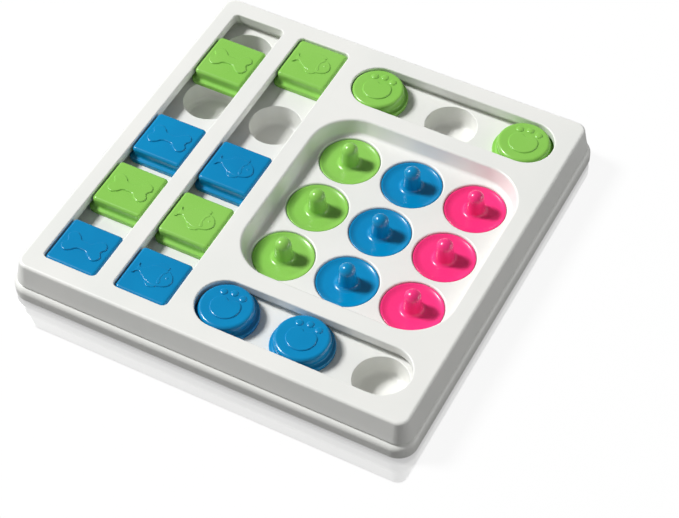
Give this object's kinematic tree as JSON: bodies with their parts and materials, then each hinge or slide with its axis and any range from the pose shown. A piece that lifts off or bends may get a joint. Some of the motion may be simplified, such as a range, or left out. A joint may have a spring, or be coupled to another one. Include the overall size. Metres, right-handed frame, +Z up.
{
  "type": "cat puzzle feeder",
  "caption": "Square treat puzzle board with cups under sliding blocks in four channels and under lift-off lids with knobs in a sunken dish",
  "frame": {"origin": "centre of the board on the plane that the rubber feet stand on", "axes": "+X runs right along the front edge, towards the dish; +Y runs from the front edge to the back; +Z is up, out of the cups"},
  "size_m": [0.245, 0.245, 0.03],
  "materials": {
    "white_plastic": "moulded, satin gloss",
    "green_plastic": "moulded, gloss",
    "blue_plastic": "moulded, gloss",
    "pink_plastic": "moulded, gloss",
    "grey_rubber": "soft, matt",
    "zinc_steel": "zinc plated"
  },
  "bodies": {
    "board": {"base_tray": "white_plastic", "top_cover": "white_plastic", "rubber_feet": "grey_rubber", "case_screws": "zinc_steel"},
    "bone_slider_1": {"bone_slider_1": "blue_plastic"},
    "bone_slider_2": {"bone_slider_2": "green_plastic"},
    "bone_slider_3": {"bone_slider_3": "blue_plastic"},
    "bone_slider_4": {"bone_slider_4": "green_plastic"},
    "fish_slider_1": {"fish_slider_1": "blue_plastic"},
    "fish_slider_2": {"fish_slider_2": "green_plastic"},
    "fish_slider_3": {"fish_slider_3": "blue_plastic"},
    "fish_slider_4": {"fish_slider_4": "green_plastic"},
    "paw_slider_1": {"paw_slider_1": "blue_plastic"},
    "paw_slider_2": {"paw_slider_2": "blue_plastic"},
    "paw_slider_3": {"paw_slider_3": "green_plastic"},
    "paw_slider_4": {"paw_slider_4": "green_plastic"},
    "treat_lid_1": {"treat_lid_1": "green_plastic"},
    "treat_lid_2": {"treat_lid_2": "green_plastic"},
    "treat_lid_3": {"treat_lid_3": "green_plastic"},
    "treat_lid_4": {"treat_lid_4": "blue_plastic"},
    "treat_lid_5": {"treat_lid_5": "blue_plastic"},
    "treat_lid_6": {"treat_lid_6": "blue_plastic"},
    "treat_lid_7": {"treat_lid_7": "pink_plastic"},
    "treat_lid_8": {"treat_lid_8": "pink_plastic"},
    "treat_lid_9": {"treat_lid_9": "pink_plastic"}
  },
  "joints": [
    {"name": "bone_slider_1_slide", "type": "slide", "parent": "board", "child": "bone_slider_1", "axis": [0, 1, 0], "range_m": [0, 0.01096]},
    {"name": "bone_slider_2_slide", "type": "slide", "parent": "board", "child": "bone_slider_2", "axis": [0, 1, 0], "range_m": [-0.01096, 0.00554]},
    {"name": "bone_slider_3_slide", "type": "slide", "parent": "board", "child": "bone_slider_3", "axis": [0, 1, 0], "range_m": [-0.00554, 0.03353]},
    {"name": "bone_slider_4_slide", "type": "slide", "parent": "board", "child": "bone_slider_4", "axis": [0, 1, 0], "range_m": [-0.03353, 0.01987]},
    {"name": "fish_slider_1_slide", "type": "slide", "parent": "board", "child": "fish_slider_1", "axis": [0, 1, 0], "range_m": [0, 0.00825]},
    {"name": "fish_slider_2_slide", "type": "slide", "parent": "board", "child": "fish_slider_2", "axis": [0, 1, 0], "range_m": [-0.00825, 0.00644]},
    {"name": "fish_slider_3_slide", "type": "slide", "parent": "board", "child": "fish_slider_3", "axis": [0, 1, 0], "range_m": [-0.00644, 0.05521]},
    {"name": "fish_slider_4_slide", "type": "slide", "parent": "board", "child": "fish_slider_4", "axis": [0, 1, 0], "range_m": [-0.05521, 0]},
    {"name": "paw_slider_1_slide", "type": "slide", "parent": "board", "child": "paw_slider_1", "axis": [1, 0, 0], "range_m": [-0.00166, 0.00989]},
    {"name": "paw_slider_2_slide", "type": "slide", "parent": "board", "child": "paw_slider_2", "axis": [1, 0, 0], "range_m": [-0.00989, 0.04745]},
    {"name": "paw_slider_3_slide", "type": "slide", "parent": "board", "child": "paw_slider_3", "axis": [1, 0, 0], "range_m": [0, 0.0571]},
    {"name": "paw_slider_4_slide", "type": "slide", "parent": "board", "child": "paw_slider_4", "axis": [1, 0, 0], "range_m": [-0.0571, 0.0019]},
    {"name": "treat_lid_1_lift", "type": "slide", "parent": "board", "child": "treat_lid_1", "axis": [0, 0, 1], "range_m": [0, 0.035]},
    {"name": "treat_lid_2_lift", "type": "slide", "parent": "board", "child": "treat_lid_2", "axis": [0, 0, 1], "range_m": [0, 0.035]},
    {"name": "treat_lid_3_lift", "type": "slide", "parent": "board", "child": "treat_lid_3", "axis": [0, 0, 1], "range_m": [0, 0.035]},
    {"name": "treat_lid_4_lift", "type": "slide", "parent": "board", "child": "treat_lid_4", "axis": [0, 0, 1], "range_m": [0, 0.035]},
    {"name": "treat_lid_5_lift", "type": "slide", "parent": "board", "child": "treat_lid_5", "axis": [0, 0, 1], "range_m": [0, 0.035]},
    {"name": "treat_lid_6_lift", "type": "slide", "parent": "board", "child": "treat_lid_6", "axis": [0, 0, 1], "range_m": [0, 0.035]},
    {"name": "treat_lid_7_lift", "type": "slide", "parent": "board", "child": "treat_lid_7", "axis": [0, 0, 1], "range_m": [0, 0.035]},
    {"name": "treat_lid_8_lift", "type": "slide", "parent": "board", "child": "treat_lid_8", "axis": [0, 0, 1], "range_m": [0, 0.035]},
    {"name": "treat_lid_9_lift", "type": "slide", "parent": "board", "child": "treat_lid_9", "axis": [0, 0, 1], "range_m": [0, 0.035]}
  ]
}
